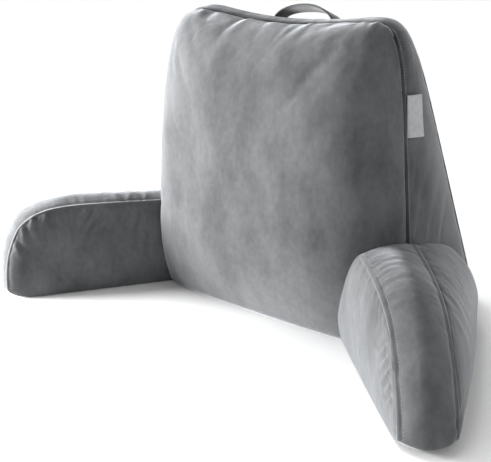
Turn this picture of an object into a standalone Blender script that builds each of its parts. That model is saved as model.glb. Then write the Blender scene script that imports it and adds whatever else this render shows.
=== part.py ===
"""Reading pillow with arms: a filled wedge back, two filled arms on its front corners, a strap handle and a side label.

Metres, +Z up. The front of the back faces -Y, and the origin is on the surface that the pillow stands on.
Every filled piece starts as a box cage. Its points have three cage coordinates: across (-1 to 1), up (0 to 1) and
deep (-1 to 1), or along, up and across on an arm. A form function then puts each point where the filled cloth lies.
"""

import math

import bmesh
import bpy
from mathutils import Matrix, Vector

# Back: two panels, front and rear, with a gusset round them. "Low" is at the surface, "top" at the upper edge.
BACK_HEIGHT = 0.460
FRONT_WIDTH_LOW = 0.492
FRONT_WIDTH_TOP = 0.403
REAR_WIDTH_LOW = 0.479
REAR_WIDTH_TOP = 0.382
FRONT_LEAN = -0.002
DEPTH_LOW = 0.233
DEPTH_TOP = 0.051
FRONT_CROWN = 0.104
REAR_CROWN = 0.030
GUSSET_CROWN = 0.018
GUSSET_CROWN_LOSS = 0.55
GUSSET_CROWN_POWER = 0.7
TOP_DIP = 0.014
TOP_DIP_SIDE_POWER = 1.5
TOP_DIP_RISE_POWER = 4
TOP_TILT = 0.009
CORNER_SHARPNESS = 16.0
CORNER_DROP_SHARE = 0.57
CORNER_TURN_POWER = 12

# How a crown falls off towards the panel's sides.
CROWN_SPREAD = 3.5
CROWN_RISE_SHARPNESS = 5.7
CROWN_EDGE_POWER = 0.46
LOW_CROWN_HEIGHT = 0.35
LOW_CROWN_LOSS = 0.45

# Cloth turns under where it meets the surface.
TURN_UNDER = 0.014

# Arms: a row for each. Lengths run along the arm from its root, and "in" is the side that faces the other arm.
ARMS = {
    "arm_right": {
        "side": 1, "root_x": 0.173, "root_y": 0.017, "splay": 41.4, "length": 0.318,
        "height_root": 0.151, "height_tip": 0.146, "strip_root": 0.086, "strip_tip": 0.068,
        "bulge_in_root": 0.030, "bulge_in_tip": 0.005, "bulge_out_root": 0.102, "bulge_out_tip": 0.016,
        "nose_drop": 0.60, "nose_drop_power": 4.8, "nose_back": 0.270, "nose_back_power": 1.45,
        "strip_crown_root": 0.006, "strip_crown_tip": 0.022,
    },
    "arm_left": {
        "side": -1, "root_x": 0.225, "root_y": 0.022, "splay": 31.1, "length": 0.324,
        "height_root": 0.146, "height_tip": 0.155, "strip_root": 0.080, "strip_tip": 0.081,
        "bulge_in_root": 0.012, "bulge_in_tip": 0.020, "bulge_out_root": 0.062, "bulge_out_tip": 0.014,
        "nose_drop": 0.42, "nose_drop_power": 8.6, "nose_back": 0.156, "nose_back_power": 2.6,
        "strip_crown_root": 0.008, "strip_crown_tip": 0.010,
    },
}
ARM_CAP_SHARE = 0.50
ARM_CAP_DROP = 0.45
ARM_TOE = 0.024
ARM_TOE_SHARE = 0.15
ARM_CROWN_POWER = 0.6
IN_CROWN = {"spread": 4.0, "low_share": 0.45, "low_loss": 0.50}
OUT_CROWN = {"spread": 2.6, "low_share": 0.35, "low_loss": 0.32}
ARM_FRONT_SPREAD = 6.0
ARM_TOE_POWER = 6
ARM_TURN_POWER = 8

# A seam's cross-section: how far a row of points lies from the seam, and how far it is raised or drawn in.
SEAM_ROWS = (
    {"away": 0.0000, "lift": 0.0028},
    {"away": 0.0035, "lift": 0.0014},
    {"away": 0.0085, "lift": -0.0026},
    {"away": 0.0190, "lift": 0.0000},
)
SEAM_STEP = 0.05

# Grid of the cages: how many even cells lie between the rows beside the seams, and the rows near the surface.
BACK_CELLS = {"across": 20, "up": 15, "deep": 4}
BACK_LOW_ROWS = [0.0, 0.008, 0.02, 0.036]
BACK_EVEN_START = 0.08
ARM_CELLS = {"along": 11, "up": 7, "across": 3}
ARM_ROOT_ROWS = [-0.45, -0.30, -0.15]
ARM_LOW_ROWS = [0.0, 0.025, 0.06, 0.11]
ARM_EVEN_START = 0.22
ON_FACE = 0.999
ON_SURFACE = 0.001
LOWEST_RISE = 0.0005
CUT_PRECISION = 1e-6

# A fold is half as deep at its ends: this much of its half wave is left out at each.
FOLD_END_SHARE = 0.1

# Main folds, as soft troughs in a panel. On the front panel s is X and h is Z, on a gusset s is Y and h is Z,
# and on an arm's panels s is the distance along the arm and h the height.
BACK_FOLDS = (
    {"panel": "front", "s0": -0.056, "h0": 0.446, "s1": -0.100, "h1": 0.385, "width": 0.011, "depth": 0.005},
    {"panel": "front", "s0": 0.060, "h0": 0.444, "s1": 0.010, "h1": 0.392, "width": 0.011, "depth": 0.005},
    {"panel": "front", "s0": 0.010, "h0": 0.440, "s1": -0.020, "h1": 0.405, "width": 0.012, "depth": 0.005},
    {"panel": "front", "s0": -0.225, "h0": 0.130, "s1": -0.140, "h1": 0.180, "width": 0.016, "depth": 0.006},
    {"panel": "front", "s0": 0.225, "h0": 0.150, "s1": 0.130, "h1": 0.200, "width": 0.018, "depth": 0.006},
    {"panel": "right", "s0": 0.015, "h0": 0.170, "s1": 0.085, "h1": 0.290, "width": 0.014, "depth": 0.007},
    {"panel": "right", "s0": 0.060, "h0": 0.140, "s1": 0.125, "h1": 0.235, "width": 0.014, "depth": 0.006},
    {"panel": "left", "s0": 0.020, "h0": 0.165, "s1": 0.090, "h1": 0.280, "width": 0.014, "depth": 0.007},
    {"panel": "rear", "s0": -0.180, "h0": 0.060, "s1": -0.080, "h1": 0.130, "width": 0.020, "depth": 0.007},
    {"panel": "rear", "s0": 0.190, "h0": 0.080, "s1": 0.090, "h1": 0.140, "width": 0.020, "depth": 0.007},
)
ARM_FOLDS = (
    {"panel": "in", "s0": 0.230, "h0": 0.110, "s1": 0.175, "h1": 0.060, "width": 0.011, "depth": 0.005},
    {"panel": "in", "s0": 0.110, "h0": 0.125, "s1": 0.140, "h1": 0.070, "width": 0.012, "depth": 0.005},
    {"panel": "out", "s0": 0.060, "h0": 0.125, "s1": 0.110, "h1": 0.060, "width": 0.013, "depth": 0.007},
    {"panel": "out", "s0": 0.150, "h0": 0.115, "s1": 0.185, "h1": 0.055, "width": 0.012, "depth": 0.005},
    {"panel": "top", "s0": 0.075, "h0": -0.030, "s1": 0.085, "h1": 0.030, "width": 0.009, "depth": 0.004},
)

# Strap handle on the top strip: a flat band that arches across the middle and leans back at the top of its arch.
STRAP_CENTRE_X = 0.020
STRAP_CENTRE_Y = 0.037
STRAP_SPAN = 0.110
STRAP_RISE = 0.0145
STRAP_LEAN = 25.0
STRAP_WIDTH = 0.027
STRAP_THICKNESS = 0.004
STRAP_SUNK = 0.012
STRAP_STEPS = 24
STRAP_COLUMNS = (-1.0, -0.4, 0.4, 1.0)
STRAP_ARCH_POWER = 0.85

# Label sewn in the right front seam. It lies back over the gusset.
LABEL_LOW = 0.305
LABEL_HEIGHT = 0.058
LABEL_REACH = 0.034
LABEL_THICKNESS = 0.0016
LABEL_START = 0.001
LABEL_STAND = 0.0022
LABEL_CURL = 0.0045
LABEL_COLUMNS = 5
LABEL_ROWS = 7

# Touching pieces keep this gap.
GAP = 0.0004

# Moves the pillow so that the origin lies under the middle of its outline.
MIDDLE_X = -0.01057
MIDDLE_Y = -0.01604

VELVET = {"colour": (0.145, 0.152, 0.158, 1.0), "roughness": 0.85}
WEBBING = {"colour": (0.085, 0.090, 0.095, 1.0), "roughness": 0.80}
LABEL_CLOTH = {"colour": (0.560, 0.560, 0.565, 1.0), "roughness": 0.90}


def clear_scene():
    for obj in list(bpy.data.objects):
        bpy.data.objects.remove(obj, do_unlink=True)


def new_collection(name):
    collection = bpy.data.collections.new(name)
    bpy.context.scene.collection.children.link(collection)
    return collection


def cloth_material(name, look):
    material = bpy.data.materials.new(name)
    material.use_nodes = True
    shader = material.node_tree.nodes["Principled BSDF"]
    shader.inputs["Base Color"].default_value = look["colour"]
    shader.inputs["Roughness"].default_value = look["roughness"]
    shader.inputs["Metallic"].default_value = 0.0
    return material


def clamp(value, low=0.0, high=1.0):
    return min(max(value, low), high)


def mix(start, end, share):
    return start + (end - start) * share


# Cage coordinates


def stations(low, high, cells, low_rows, high_rows):
    """Cage coordinates along one side of a cage, with rows SEAM_STEP apart next to an end that carries a seam."""
    start = low + SEAM_STEP * low_rows
    end = high - SEAM_STEP * high_rows
    inner = [mix(start, end, i / cells) for i in range(cells + 1)]
    before = [low + SEAM_STEP * i for i in range(low_rows)]
    after = [high - SEAM_STEP * i for i in reversed(range(high_rows))]
    return before + inner + after


def from_edge(share, reach):
    """Metres from a panel's edge to a point whose cage coordinate is share short of that edge."""
    rows = len(SEAM_ROWS) - 1
    place = share / SEAM_STEP
    if place < rows:
        row = int(place)
        return mix(SEAM_ROWS[row]["away"], SEAM_ROWS[row + 1]["away"], place - row)
    zone = SEAM_ROWS[-1]["away"]
    return zone + (reach - zone) * (place - rows) / (1.0 / SEAM_STEP - rows)


def to_edge(distance, reach):
    """The cage distance from a panel's edge to a point that lies this many metres from it."""
    zone = SEAM_ROWS[-1]["away"]
    rows = len(SEAM_ROWS) - 1
    if distance >= zone:
        return SEAM_STEP * (rows + (distance - zone) / (reach - zone) * (1.0 / SEAM_STEP - rows))
    for row in range(rows):
        near, far = SEAM_ROWS[row]["away"], SEAM_ROWS[row + 1]["away"]
        if distance < far:
            return SEAM_STEP * (row + (distance - near) / (far - near))
    return 0.0


def spread(value, half):
    """A cage coordinate from -1 to 1 as a share of half, with the rows by both ends at their real distances."""
    return math.copysign(1.0 - from_edge(1.0 - abs(value), half) / half, value)


def spread_one_end(value, whole):
    """A cage coordinate from 0 to 1 as a share of whole, with the rows by the upper end at their real distances."""
    return 1.0 - from_edge(1.0 - value, whole) / whole


def seam_lift(share):
    """How far the cloth is raised at a cage distance from the seam."""
    place = clamp(share / SEAM_STEP, 0.0, len(SEAM_ROWS) - 1)
    row = min(int(place), len(SEAM_ROWS) - 2)
    return mix(SEAM_ROWS[row]["lift"], SEAM_ROWS[row + 1]["lift"], place - row)


def seam_distance(deep, *others):
    """Cage distance to the nearest seam. A seam runs where a panel's rim meets the strip round it."""
    return max(1.0 - abs(deep), min(1.0 - abs(other) for other in others))


def box_cage(along, up, deep):
    """A closed box with a grid line at each coordinate, made by cutting one cube with planes."""
    mesh = bmesh.new()
    bmesh.ops.create_cube(mesh, size=1.0)
    lows = Vector((along[0], up[0], deep[0]))
    highs = Vector((along[-1], up[-1], deep[-1]))
    for vert in mesh.verts:
        for axis in range(3):
            vert.co[axis] = highs[axis] if vert.co[axis] > 0 else lows[axis]
    for axis, cuts in enumerate((along, up, deep)):
        normal = Vector((0.0, 0.0, 0.0))
        normal[axis] = 1.0
        for cut in cuts[1:-1]:
            everything = mesh.verts[:] + mesh.edges[:] + mesh.faces[:]
            bmesh.ops.bisect_plane(
                mesh, geom=everything, dist=CUT_PRECISION, plane_co=normal * cut, plane_no=normal
            )
    return mesh


# Back


def crown(across, up, edge_power):
    """Share of a panel's crown at a point: full in the middle, none at its seams."""
    return (
        max(1.0 - abs(across) ** CROWN_SPREAD, 0.0) ** edge_power
        * max(1.0 - up**CROWN_RISE_SHARPNESS, 0.0) ** edge_power
        * (1.0 - LOW_CROWN_LOSS * clamp(1.0 - up / LOW_CROWN_HEIGHT) ** 2)
    )


def corner_pull(value, amount=1.0):
    """How much a panel narrows as its corner is drawn in."""
    share = 2.0 * amount / (CORNER_SHARPNESS + 2.0)
    return math.sqrt(1.0 - share * abs(value) ** CORNER_SHARPNESS)


def turned_under(height):
    """How far the cloth lies inside its outline near the surface."""
    if height >= TURN_UNDER:
        return 0.0
    return TURN_UNDER - math.sqrt(TURN_UNDER**2 - (TURN_UNDER - height) ** 2)


def back_point(cage):
    across = spread(cage.x, FRONT_WIDTH_LOW / 2)
    up = spread_one_end(cage.y, BACK_HEIGHT)
    depth = mix(DEPTH_LOW, DEPTH_TOP, up)
    rearward = (spread(cage.z, depth / 2) + 1.0) / 2
    dip = TOP_DIP * max(1.0 - across**2, 0.0) ** TOP_DIP_SIDE_POWER * up**TOP_DIP_RISE_POWER
    dip += TOP_TILT * across * up**2
    height = up * BACK_HEIGHT * corner_pull(across, CORNER_DROP_SHARE) - dip
    front_half = mix(FRONT_WIDTH_LOW, FRONT_WIDTH_TOP, up) / 2
    rear_half = mix(REAR_WIDTH_LOW, REAR_WIDTH_TOP, up) / 2
    inset = turned_under(height)
    side = across * (mix(front_half, rear_half, rearward) * corner_pull(up) - inset)
    front_y = FRONT_LEAN * up - FRONT_CROWN * crown(across, up, CROWN_EDGE_POWER)
    rear_y = FRONT_LEAN * up + depth + REAR_CROWN * crown(across, up, CROWN_EDGE_POWER)
    gusset = GUSSET_CROWN * (1.0 - GUSSET_CROWN_LOSS * up)
    gusset *= max(1.0 - (2.0 * rearward - 1.0) ** 2, 0.0) ** GUSSET_CROWN_POWER
    if abs(cage.x) > ON_FACE or cage.y > ON_FACE:
        sideways = math.copysign(abs(across) ** CORNER_TURN_POWER, across)
        outward = Vector((sideways, up**CORNER_TURN_POWER)).normalized()
        side += gusset * outward.x
        height += gusset * outward.y
    return Vector((side, mix(front_y + inset, rear_y - inset, rearward), height))


def fold_depth(folds, panel, s, h):
    """Depth of the troughs at a point of a panel, each deepest at its middle and fading at its ends."""
    total = 0.0
    for fold in folds:
        if fold["panel"] != panel:
            continue
        start = Vector((fold["s0"], fold["h0"]))
        run = Vector((fold["s1"], fold["h1"])) - start
        offset = Vector((s, h)) - start
        share = offset.dot(run) / run.length_squared
        away = (offset - run * clamp(share)).length
        fade = math.sqrt(math.sin(math.pi * clamp(mix(FOLD_END_SHARE, 1.0 - FOLD_END_SHARE, share))))
        total += fold["depth"] * fade * math.exp(-((away / fold["width"]) ** 2))
    return total


def back_relief(cage, place):
    """How far the seams raise the cloth of the back and the folds draw it in."""
    lift = seam_lift(seam_distance(cage.z, cage.x, cage.y))
    if cage.z < -ON_FACE:
        lift -= fold_depth(BACK_FOLDS, "front", place.x, place.z)
    elif cage.z > ON_FACE:
        lift -= fold_depth(BACK_FOLDS, "rear", place.x, place.z)
    elif abs(cage.x) > ON_FACE:
        lift -= fold_depth(BACK_FOLDS, "right" if cage.x > 0 else "left", place.y, place.z)
    return lift


def filled_mesh(cage, form, relief, grow):
    """The cage's points put in their places, then raised or drawn in along the cloth's own outward direction."""
    places = [(vert, vert.co.copy()) for vert in cage.verts]
    for vert, coordinates in places:
        vert.co = form(coordinates)
    cage.normal_update()
    bmesh.ops.recalc_face_normals(cage, faces=cage.faces)
    cage.normal_update()
    outward = [vert.normal.copy() for vert in cage.verts]
    for (vert, coordinates), normal in zip(places, outward):
        on_surface = coordinates.y < ON_SURFACE
        if on_surface:
            vert.co.z -= grow
            continue
        fade = clamp(vert.co.z / TURN_UNDER)
        vert.co += normal * (relief(coordinates, vert.co) * fade + grow)
        vert.co.z = max(vert.co.z, LOWEST_RISE)
    bmesh.ops.triangulate(cage, faces=cage.faces, quad_method="FIXED")
    return cage


def mesh_object(name, filled, collection, material=None):
    data = bpy.data.meshes.new(name)
    filled.normal_update()
    bmesh.ops.recalc_face_normals(filled, faces=filled.faces)
    filled.to_mesh(data)
    filled.free()
    data.shade_smooth()
    obj = bpy.data.objects.new(name, data)
    obj.location = (-MIDDLE_X, -MIDDLE_Y, 0.0)
    collection.objects.link(obj)
    if material:
        data.materials.append(material)
    return obj


def back_cage():
    seam_rows = len(SEAM_ROWS) - 1
    return box_cage(
        stations(-1.0, 1.0, BACK_CELLS["across"], seam_rows, seam_rows),
        BACK_LOW_ROWS + stations(BACK_EVEN_START, 1.0, BACK_CELLS["up"], 0, seam_rows),
        stations(-1.0, 1.0, BACK_CELLS["deep"], seam_rows, seam_rows),
    )


def make_back(name, grow, collection, material=None):
    return mesh_object(name, filled_mesh(back_cage(), back_point, back_relief, grow), collection, material)


# Arms


def side_crown(crown_of, up):
    """Share of a side panel's bulge at a height."""
    low = 1.0 - crown_of["low_loss"] * clamp(1.0 - up / crown_of["low_share"]) ** 2
    return low * max(1.0 - up ** crown_of["spread"], 0.0) ** ARM_CROWN_POWER


def arm_widths(arm, along, up):
    """Half the strip's width, and how far each side panel bulges past it."""
    share = clamp(along)
    strip = mix(arm["strip_root"], arm["strip_tip"], share) / 2
    front = max(1.0 - share**ARM_FRONT_SPREAD, 0.0) ** ARM_CROWN_POWER
    inward = mix(arm["bulge_in_root"], arm["bulge_in_tip"], share) * front * side_crown(IN_CROWN, up)
    outward = (arm["bulge_out_tip"] + arm["bulge_out_root"] * (1.0 - along)) * front
    return strip, inward, outward * side_crown(OUT_CROWN, up)


def arm_local(arm, cage):
    """A point of an arm as distance along it, distance across it and height."""
    along = cage.x
    up = spread_one_end(cage.y, arm["height_root"])
    if along > 0.0:
        along = spread_one_end(along, arm["length"])
    front = clamp(along)
    height = mix(arm["height_root"], arm["height_tip"], front) * up
    height *= math.sqrt(1.0 - arm["nose_drop"] * front ** arm["nose_drop_power"])
    inset = turned_under(height)
    strip, inward, outward = arm_widths(arm, along, up)
    half = strip + (outward if cage.z > 0.0 else inward) - inset
    share = spread(cage.z, half)
    reach = arm["length"] * along
    if along > 0.0:
        reach *= math.sqrt(1.0 - arm["nose_back"] * up ** arm["nose_back_power"]) - inset / arm["length"]
        reach -= ARM_TOE * clamp(1.0 - up / ARM_TOE_SHARE) ** 2 * along**ARM_TOE_POWER
    if cage.x > ON_FACE or cage.y > ON_FACE:
        outline = Vector((front**ARM_TURN_POWER, up**ARM_TURN_POWER)).normalized()
        swell = mix(arm["strip_crown_root"], arm["strip_crown_tip"], front) * (1.0 - share**2)
        reach += swell * outline.x
        height += swell * outline.y
    if along < 0.0:
        cap = math.sqrt(1.0 - (along / ARM_CAP_SHARE) ** 2)
        half *= cap
        height *= mix(1.0 - ARM_CAP_DROP, 1.0, cap)
    return Vector((reach, share * half, height))


def arm_frame(arm):
    """Matrix from an arm's own directions (along, across, up) to the pillow's."""
    angle = math.radians(arm["splay"])
    along = Vector((math.sin(angle), -math.cos(angle), 0.0))
    across = Vector((math.cos(angle), math.sin(angle), 0.0))
    turn = Matrix((along, across, Vector((0.0, 0.0, 1.0)))).transposed().to_4x4()
    turn.translation = Vector((arm["root_x"], arm["root_y"], 0.0))
    return Matrix.Diagonal((arm["side"], 1.0, 1.0, 1.0)) @ turn


def make_arm(name, arm, collection, material):
    seam_rows = len(SEAM_ROWS) - 1
    frame = arm_frame(arm)
    to_local = frame.inverted()
    cage = box_cage(
        ARM_ROOT_ROWS + stations(0.0, 1.0, ARM_CELLS["along"], 0, seam_rows),
        ARM_LOW_ROWS + stations(ARM_EVEN_START, 1.0, ARM_CELLS["up"], 0, seam_rows),
        stations(-1.0, 1.0, ARM_CELLS["across"], seam_rows, seam_rows),
    )

    def form(coordinates):
        return frame @ arm_local(arm, coordinates)

    def relief(coordinates, place):
        local = to_local @ place
        if coordinates.x < 0.0:
            return 0.0
        lift = seam_lift(seam_distance(coordinates.z, coordinates.x, coordinates.y))
        if coordinates.z > ON_FACE:
            lift -= fold_depth(ARM_FOLDS, "out", local.x, local.z)
        elif coordinates.z < -ON_FACE:
            lift -= fold_depth(ARM_FOLDS, "in", local.x, local.z)
        elif coordinates.y > ON_FACE:
            lift -= fold_depth(ARM_FOLDS, "top", local.x, local.y)
        return lift

    return mesh_object(name, filled_mesh(cage, form, relief, 0.0), collection, material)


def cut_away(obj, cutter):
    cut = obj.modifiers.new("clear_of_back", "BOOLEAN")
    cut.operation = "DIFFERENCE"
    cut.solver = "EXACT"
    cut.object = cutter


# Handle and label


def thick_sheet(name, points, thickness, collection, material):
    """An open grid of points given a thickness."""
    mesh = bmesh.new()
    rows = [[mesh.verts.new(point) for point in row] for row in points]
    for row, following in zip(rows, rows[1:]):
        for i in range(len(row) - 1):
            mesh.faces.new((row[i], row[i + 1], following[i + 1], following[i]))
    obj = mesh_object(name, mesh, collection, material)
    solidify = obj.modifiers.new("thickness", "SOLIDIFY")
    solidify.thickness = thickness
    solidify.offset = 0.0
    return obj


def make_strap(collection, material):
    foot = back_point(Vector((0.0, 1.0, 0.0))).z - STRAP_SUNK
    rise = STRAP_RISE + STRAP_SUNK
    points = []
    for i in range(STRAP_STEPS + 1):
        angle = math.pi * (1.0 - i / STRAP_STEPS)
        x = STRAP_CENTRE_X + STRAP_SPAN / 2 * math.cos(angle)
        z = foot + rise * math.sin(angle) ** STRAP_ARCH_POWER
        lean = math.radians(STRAP_LEAN) * math.sin(angle)
        row = []
        for share in STRAP_COLUMNS:
            across = STRAP_WIDTH / 2 * share
            row.append(Vector((x, STRAP_CENTRE_Y + across * math.cos(lean), z - across * math.sin(lean))))
        points.append(row)
    return thick_sheet("carry_strap", points, STRAP_THICKNESS, collection, material)


def gusset_point(up, deep):
    """A point of the right gusset and the cloth's outward direction there."""
    step = 0.004
    here = back_point(Vector((1.0, up, deep)))
    above = back_point(Vector((1.0, up + step, deep)))
    behind = back_point(Vector((1.0, up, deep + step)))
    outward = (behind - here).cross(above - here).normalized()
    return here, outward


def make_label(collection, material):
    points = []
    for row in range(LABEL_ROWS):
        height = (LABEL_LOW + LABEL_HEIGHT * row / (LABEL_ROWS - 1)) / corner_pull(1.0, CORNER_DROP_SHARE)
        up = 1.0 - to_edge(BACK_HEIGHT - height, BACK_HEIGHT)
        half_depth = mix(DEPTH_LOW, DEPTH_TOP, height / BACK_HEIGHT) / 2
        line = []
        for column in range(LABEL_COLUMNS):
            share = column / (LABEL_COLUMNS - 1)
            deep = to_edge(mix(LABEL_START, LABEL_REACH, share), half_depth) - 1.0
            here, outward = gusset_point(up, deep)
            clear = LABEL_STAND + LABEL_CURL * share
            line.append(here + outward * clear)
        points.append(line)
    return thick_sheet("side_label", points, LABEL_THICKNESS, collection, material)


def main():
    clear_scene()
    parts = new_collection("reading_pillow")
    cutters = new_collection("cutters")
    velvet = cloth_material("velvet", VELVET)
    webbing = cloth_material("webbing", WEBBING)
    label_cloth = cloth_material("label_cloth", LABEL_CLOTH)
    make_back("back_cushion", 0.0, parts, velvet)
    clearance = make_back("back_clearance", GAP, cutters)
    clearance.hide_render = True
    clearance.display_type = "WIRE"
    for name, arm in ARMS.items():
        cut_away(make_arm(name, arm, parts, velvet), clearance)
    cut_away(make_strap(parts, webbing), clearance)
    cut_away(make_label(parts, label_cloth), clearance)


main()
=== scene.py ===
"""Looks of the reading pillow with arms: velvet covers, raised seams, stitches, strap, label and studio.

Metres, +Z up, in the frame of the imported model. Each filled piece is one closed grid of cloth. Its points
have three cage coordinates: across (-1 to 1), up (0 to 1) and deep (-1 to 1) on the back, or along (0 to 1),
up and across on an arm. A form function puts each point where the filled cloth lies, a cloth simulation adds
the gathers that its seams cause, and a relief then raises the seams and draws in the folds.
"""

import itertools
import math

import bpy
import numpy as np
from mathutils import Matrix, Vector
from mathutils.bvhtree import BVHTree

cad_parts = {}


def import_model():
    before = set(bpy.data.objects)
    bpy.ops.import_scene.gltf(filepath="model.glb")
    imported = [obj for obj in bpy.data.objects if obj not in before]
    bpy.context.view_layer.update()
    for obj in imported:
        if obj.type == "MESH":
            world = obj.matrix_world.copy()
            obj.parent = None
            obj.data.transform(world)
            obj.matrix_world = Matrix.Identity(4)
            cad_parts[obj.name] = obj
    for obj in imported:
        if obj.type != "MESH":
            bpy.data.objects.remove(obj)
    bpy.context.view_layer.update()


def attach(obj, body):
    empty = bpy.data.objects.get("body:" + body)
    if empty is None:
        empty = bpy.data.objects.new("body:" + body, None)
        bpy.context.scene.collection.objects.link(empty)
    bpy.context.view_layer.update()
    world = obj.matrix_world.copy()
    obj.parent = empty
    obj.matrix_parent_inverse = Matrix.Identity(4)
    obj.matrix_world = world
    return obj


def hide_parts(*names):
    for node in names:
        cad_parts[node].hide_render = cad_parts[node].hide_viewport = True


# The forms below are written about the middle of the back. These move them to the frame's origin.
MIDDLE_X = -0.01057
MIDDLE_Y = -0.01604

# Back: two panels, front and rear, with a gusset round them. "Low" is at the surface that it stands on, and
# "top" at the upper edge.
BACK_HEIGHT = 0.460
FRONT_WIDTH_LOW = 0.492
FRONT_WIDTH_TOP = 0.403
REAR_WIDTH_LOW = 0.479
REAR_WIDTH_TOP = 0.382
FRONT_LEAN = -0.002
DEPTH_LOW = 0.233
DEPTH_TOP = 0.051
FRONT_CROWN = 0.104
REAR_CROWN = 0.030
GUSSET_CROWN = 0.018
GUSSET_CROWN_LOSS = 0.55
GUSSET_CROWN_POWER = 0.7
TOP_DIP = 0.014
TOP_DIP_SIDE_POWER = 1.5
TOP_DIP_RISE_POWER = 4
TOP_TILT = 0.009
CORNER_SHARPNESS = 16.0
CORNER_DROP_SHARE = 0.57
CORNER_TURN_POWER = 12
CROWN_SPREAD = 3.5
CROWN_RISE_SHARPNESS = 5.7
CROWN_EDGE_POWER = 0.46
LOW_CROWN_HEIGHT = 0.35
LOW_CROWN_LOSS = 0.45
TURN_UNDER = 0.003
# The relief of seams and folds fades out below this height.
RELIEF_FADE = 0.028

# Arms: a row for each. Lengths run along the arm from its root, and "in" is the side towards the other arm.
ARMS = {
    "arm_right": {
        "side": 1, "root_x": 0.173, "root_y": 0.017, "splay": 41.4, "length": 0.318,
        "height_root": 0.151, "height_tip": 0.146, "strip_root": 0.086, "strip_tip": 0.068,
        "bulge_in_root": 0.030, "bulge_in_tip": 0.005, "bulge_out_root": 0.102, "bulge_out_tip": 0.016,
        "nose_drop": 0.60, "nose_drop_power": 4.8, "nose_back": 0.270, "nose_back_power": 1.45,
        "strip_crown_root": 0.006, "strip_crown_tip": 0.022,
    },
    "arm_left": {
        "side": -1, "root_x": 0.225, "root_y": 0.022, "splay": 31.1, "length": 0.324,
        "height_root": 0.146, "height_tip": 0.155, "strip_root": 0.080, "strip_tip": 0.081,
        "bulge_in_root": 0.012, "bulge_in_tip": 0.020, "bulge_out_root": 0.062, "bulge_out_tip": 0.014,
        "nose_drop": 0.42, "nose_drop_power": 8.6, "nose_back": 0.156, "nose_back_power": 2.6,
        "strip_crown_root": 0.008, "strip_crown_tip": 0.010,
    },
}
ARM_CAP_SHARE = 0.50
ARM_CAP_DROP = 0.45
ARM_TOE = 0.024
ARM_TOE_SHARE = 0.15
ARM_TOE_POWER = 6
ARM_TURN_POWER = 8
ARM_CROWN_POWER = 0.6
IN_CROWN = {"spread": 4.0, "low_share": 0.45, "low_loss": 0.50}
OUT_CROWN = {"spread": 2.6, "low_share": 0.35, "low_loss": 0.32}
ARM_FRONT_SPREAD = 6.0

# Where an arm's grid may meet the back, as shares of the arm's length, and how finely that is looked for.
ROOT_SEARCH_FRONT = 0.45
ROOT_SEARCH_BACK = -0.45
ROOT_SEARCH_STEPS = 60
ROOT_HALVINGS = 9
ROOT_GAP = 0.0004

# A cage coordinate beyond this is on a face of the cage, and one below ON_LOW_END on its lower or root end.
ON_FACE = 0.9999
ON_LOW_END = 0.001

# Least length that a vector is divided by.
LEAST_LENGTH = 1e-9

# Grid rows beside a seam: their distances from it, and their step in cage coordinates.
SEAM_ROWS = (0.0, 0.0011, 0.0022, 0.0034, 0.0048, 0.0066, 0.0090, 0.0125, 0.0170, 0.0225)
SEAM_STEP = 0.012
CROWN_HALVINGS = 40
BACK_CELLS = {"across": 66, "up": 52, "deep": 16}
ARM_CELLS = {"along": 62, "up": 26, "across": 16}
LOW_ROWS = (0.0, 0.008, 0.018, 0.030, 0.045)
BACK_EVEN_START = 0.060
ARM_EVEN_START = 0.080

# Cross-section of a seam: how far the cloth lies from its form at each row of SEAM_ROWS. The back's panels
# sink deep beside their seams, and its top front edge is rounded off.
BACK_PANEL_WELT = (0.0018, 0.0018, 0.0004, -0.0024, -0.0036, -0.0034, -0.0024, -0.0012, -0.0004, 0.0)
BACK_STRIP_WELT = (0.0018, 0.0018, 0.0008, -0.0012, -0.0016, -0.0008, -0.0003, 0.0, 0.0, 0.0)
BACK_TOP_WELT = (-0.0034, -0.0030, -0.0024, -0.0018, -0.0012, -0.0007, -0.0003, -0.0001, 0.0, 0.0)
ARM_WELT = (0.0012, 0.0011, 0.0007, 0.0001, -0.0005, -0.0005, -0.0002, 0.0, 0.0, 0.0)

# The front panel puffs up beside the top seam, and hides it from the front.
TOP_PUFF = 0.0026
TOP_PUFF_AWAY = 0.016

# The top seam's cross-section takes over past this share of the height, and fades this close to a corner.
TOP_SEAM_START = 0.97
TOP_SEAM_CORNER = 0.12

# Gathers: short ripples across a seam that fade away from it.
GATHER_HEIGHT = 0.0007
GATHER_SPACING = 0.010
GATHER_REACH = 0.022
GATHER_START = 0.0030
GATHER_FINE_SHARE = 0.6
GATHER_FINE_RATE = 1.9
GATHER_REACH_VARIES = 0.8
GATHER_REACH_SPACING = 3.0

# Uneven filling.
LUMP_HEIGHT = 0.0014
LUMP_SPACING = 0.065
LUMP_START = 0.030

# Seeds of the random values. The arms count up from theirs, and each adds its own to the last two.
BACK_CLOTH_SEED = 3
BACK_GATHER_SEED = 11
BACK_LUMP_SEED = 31
STRAP_SEED = 5
FIRST_ARM_SEED = 5
ARM_GATHER_SEED = 20
ARM_LUMP_SEED = 40

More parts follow.
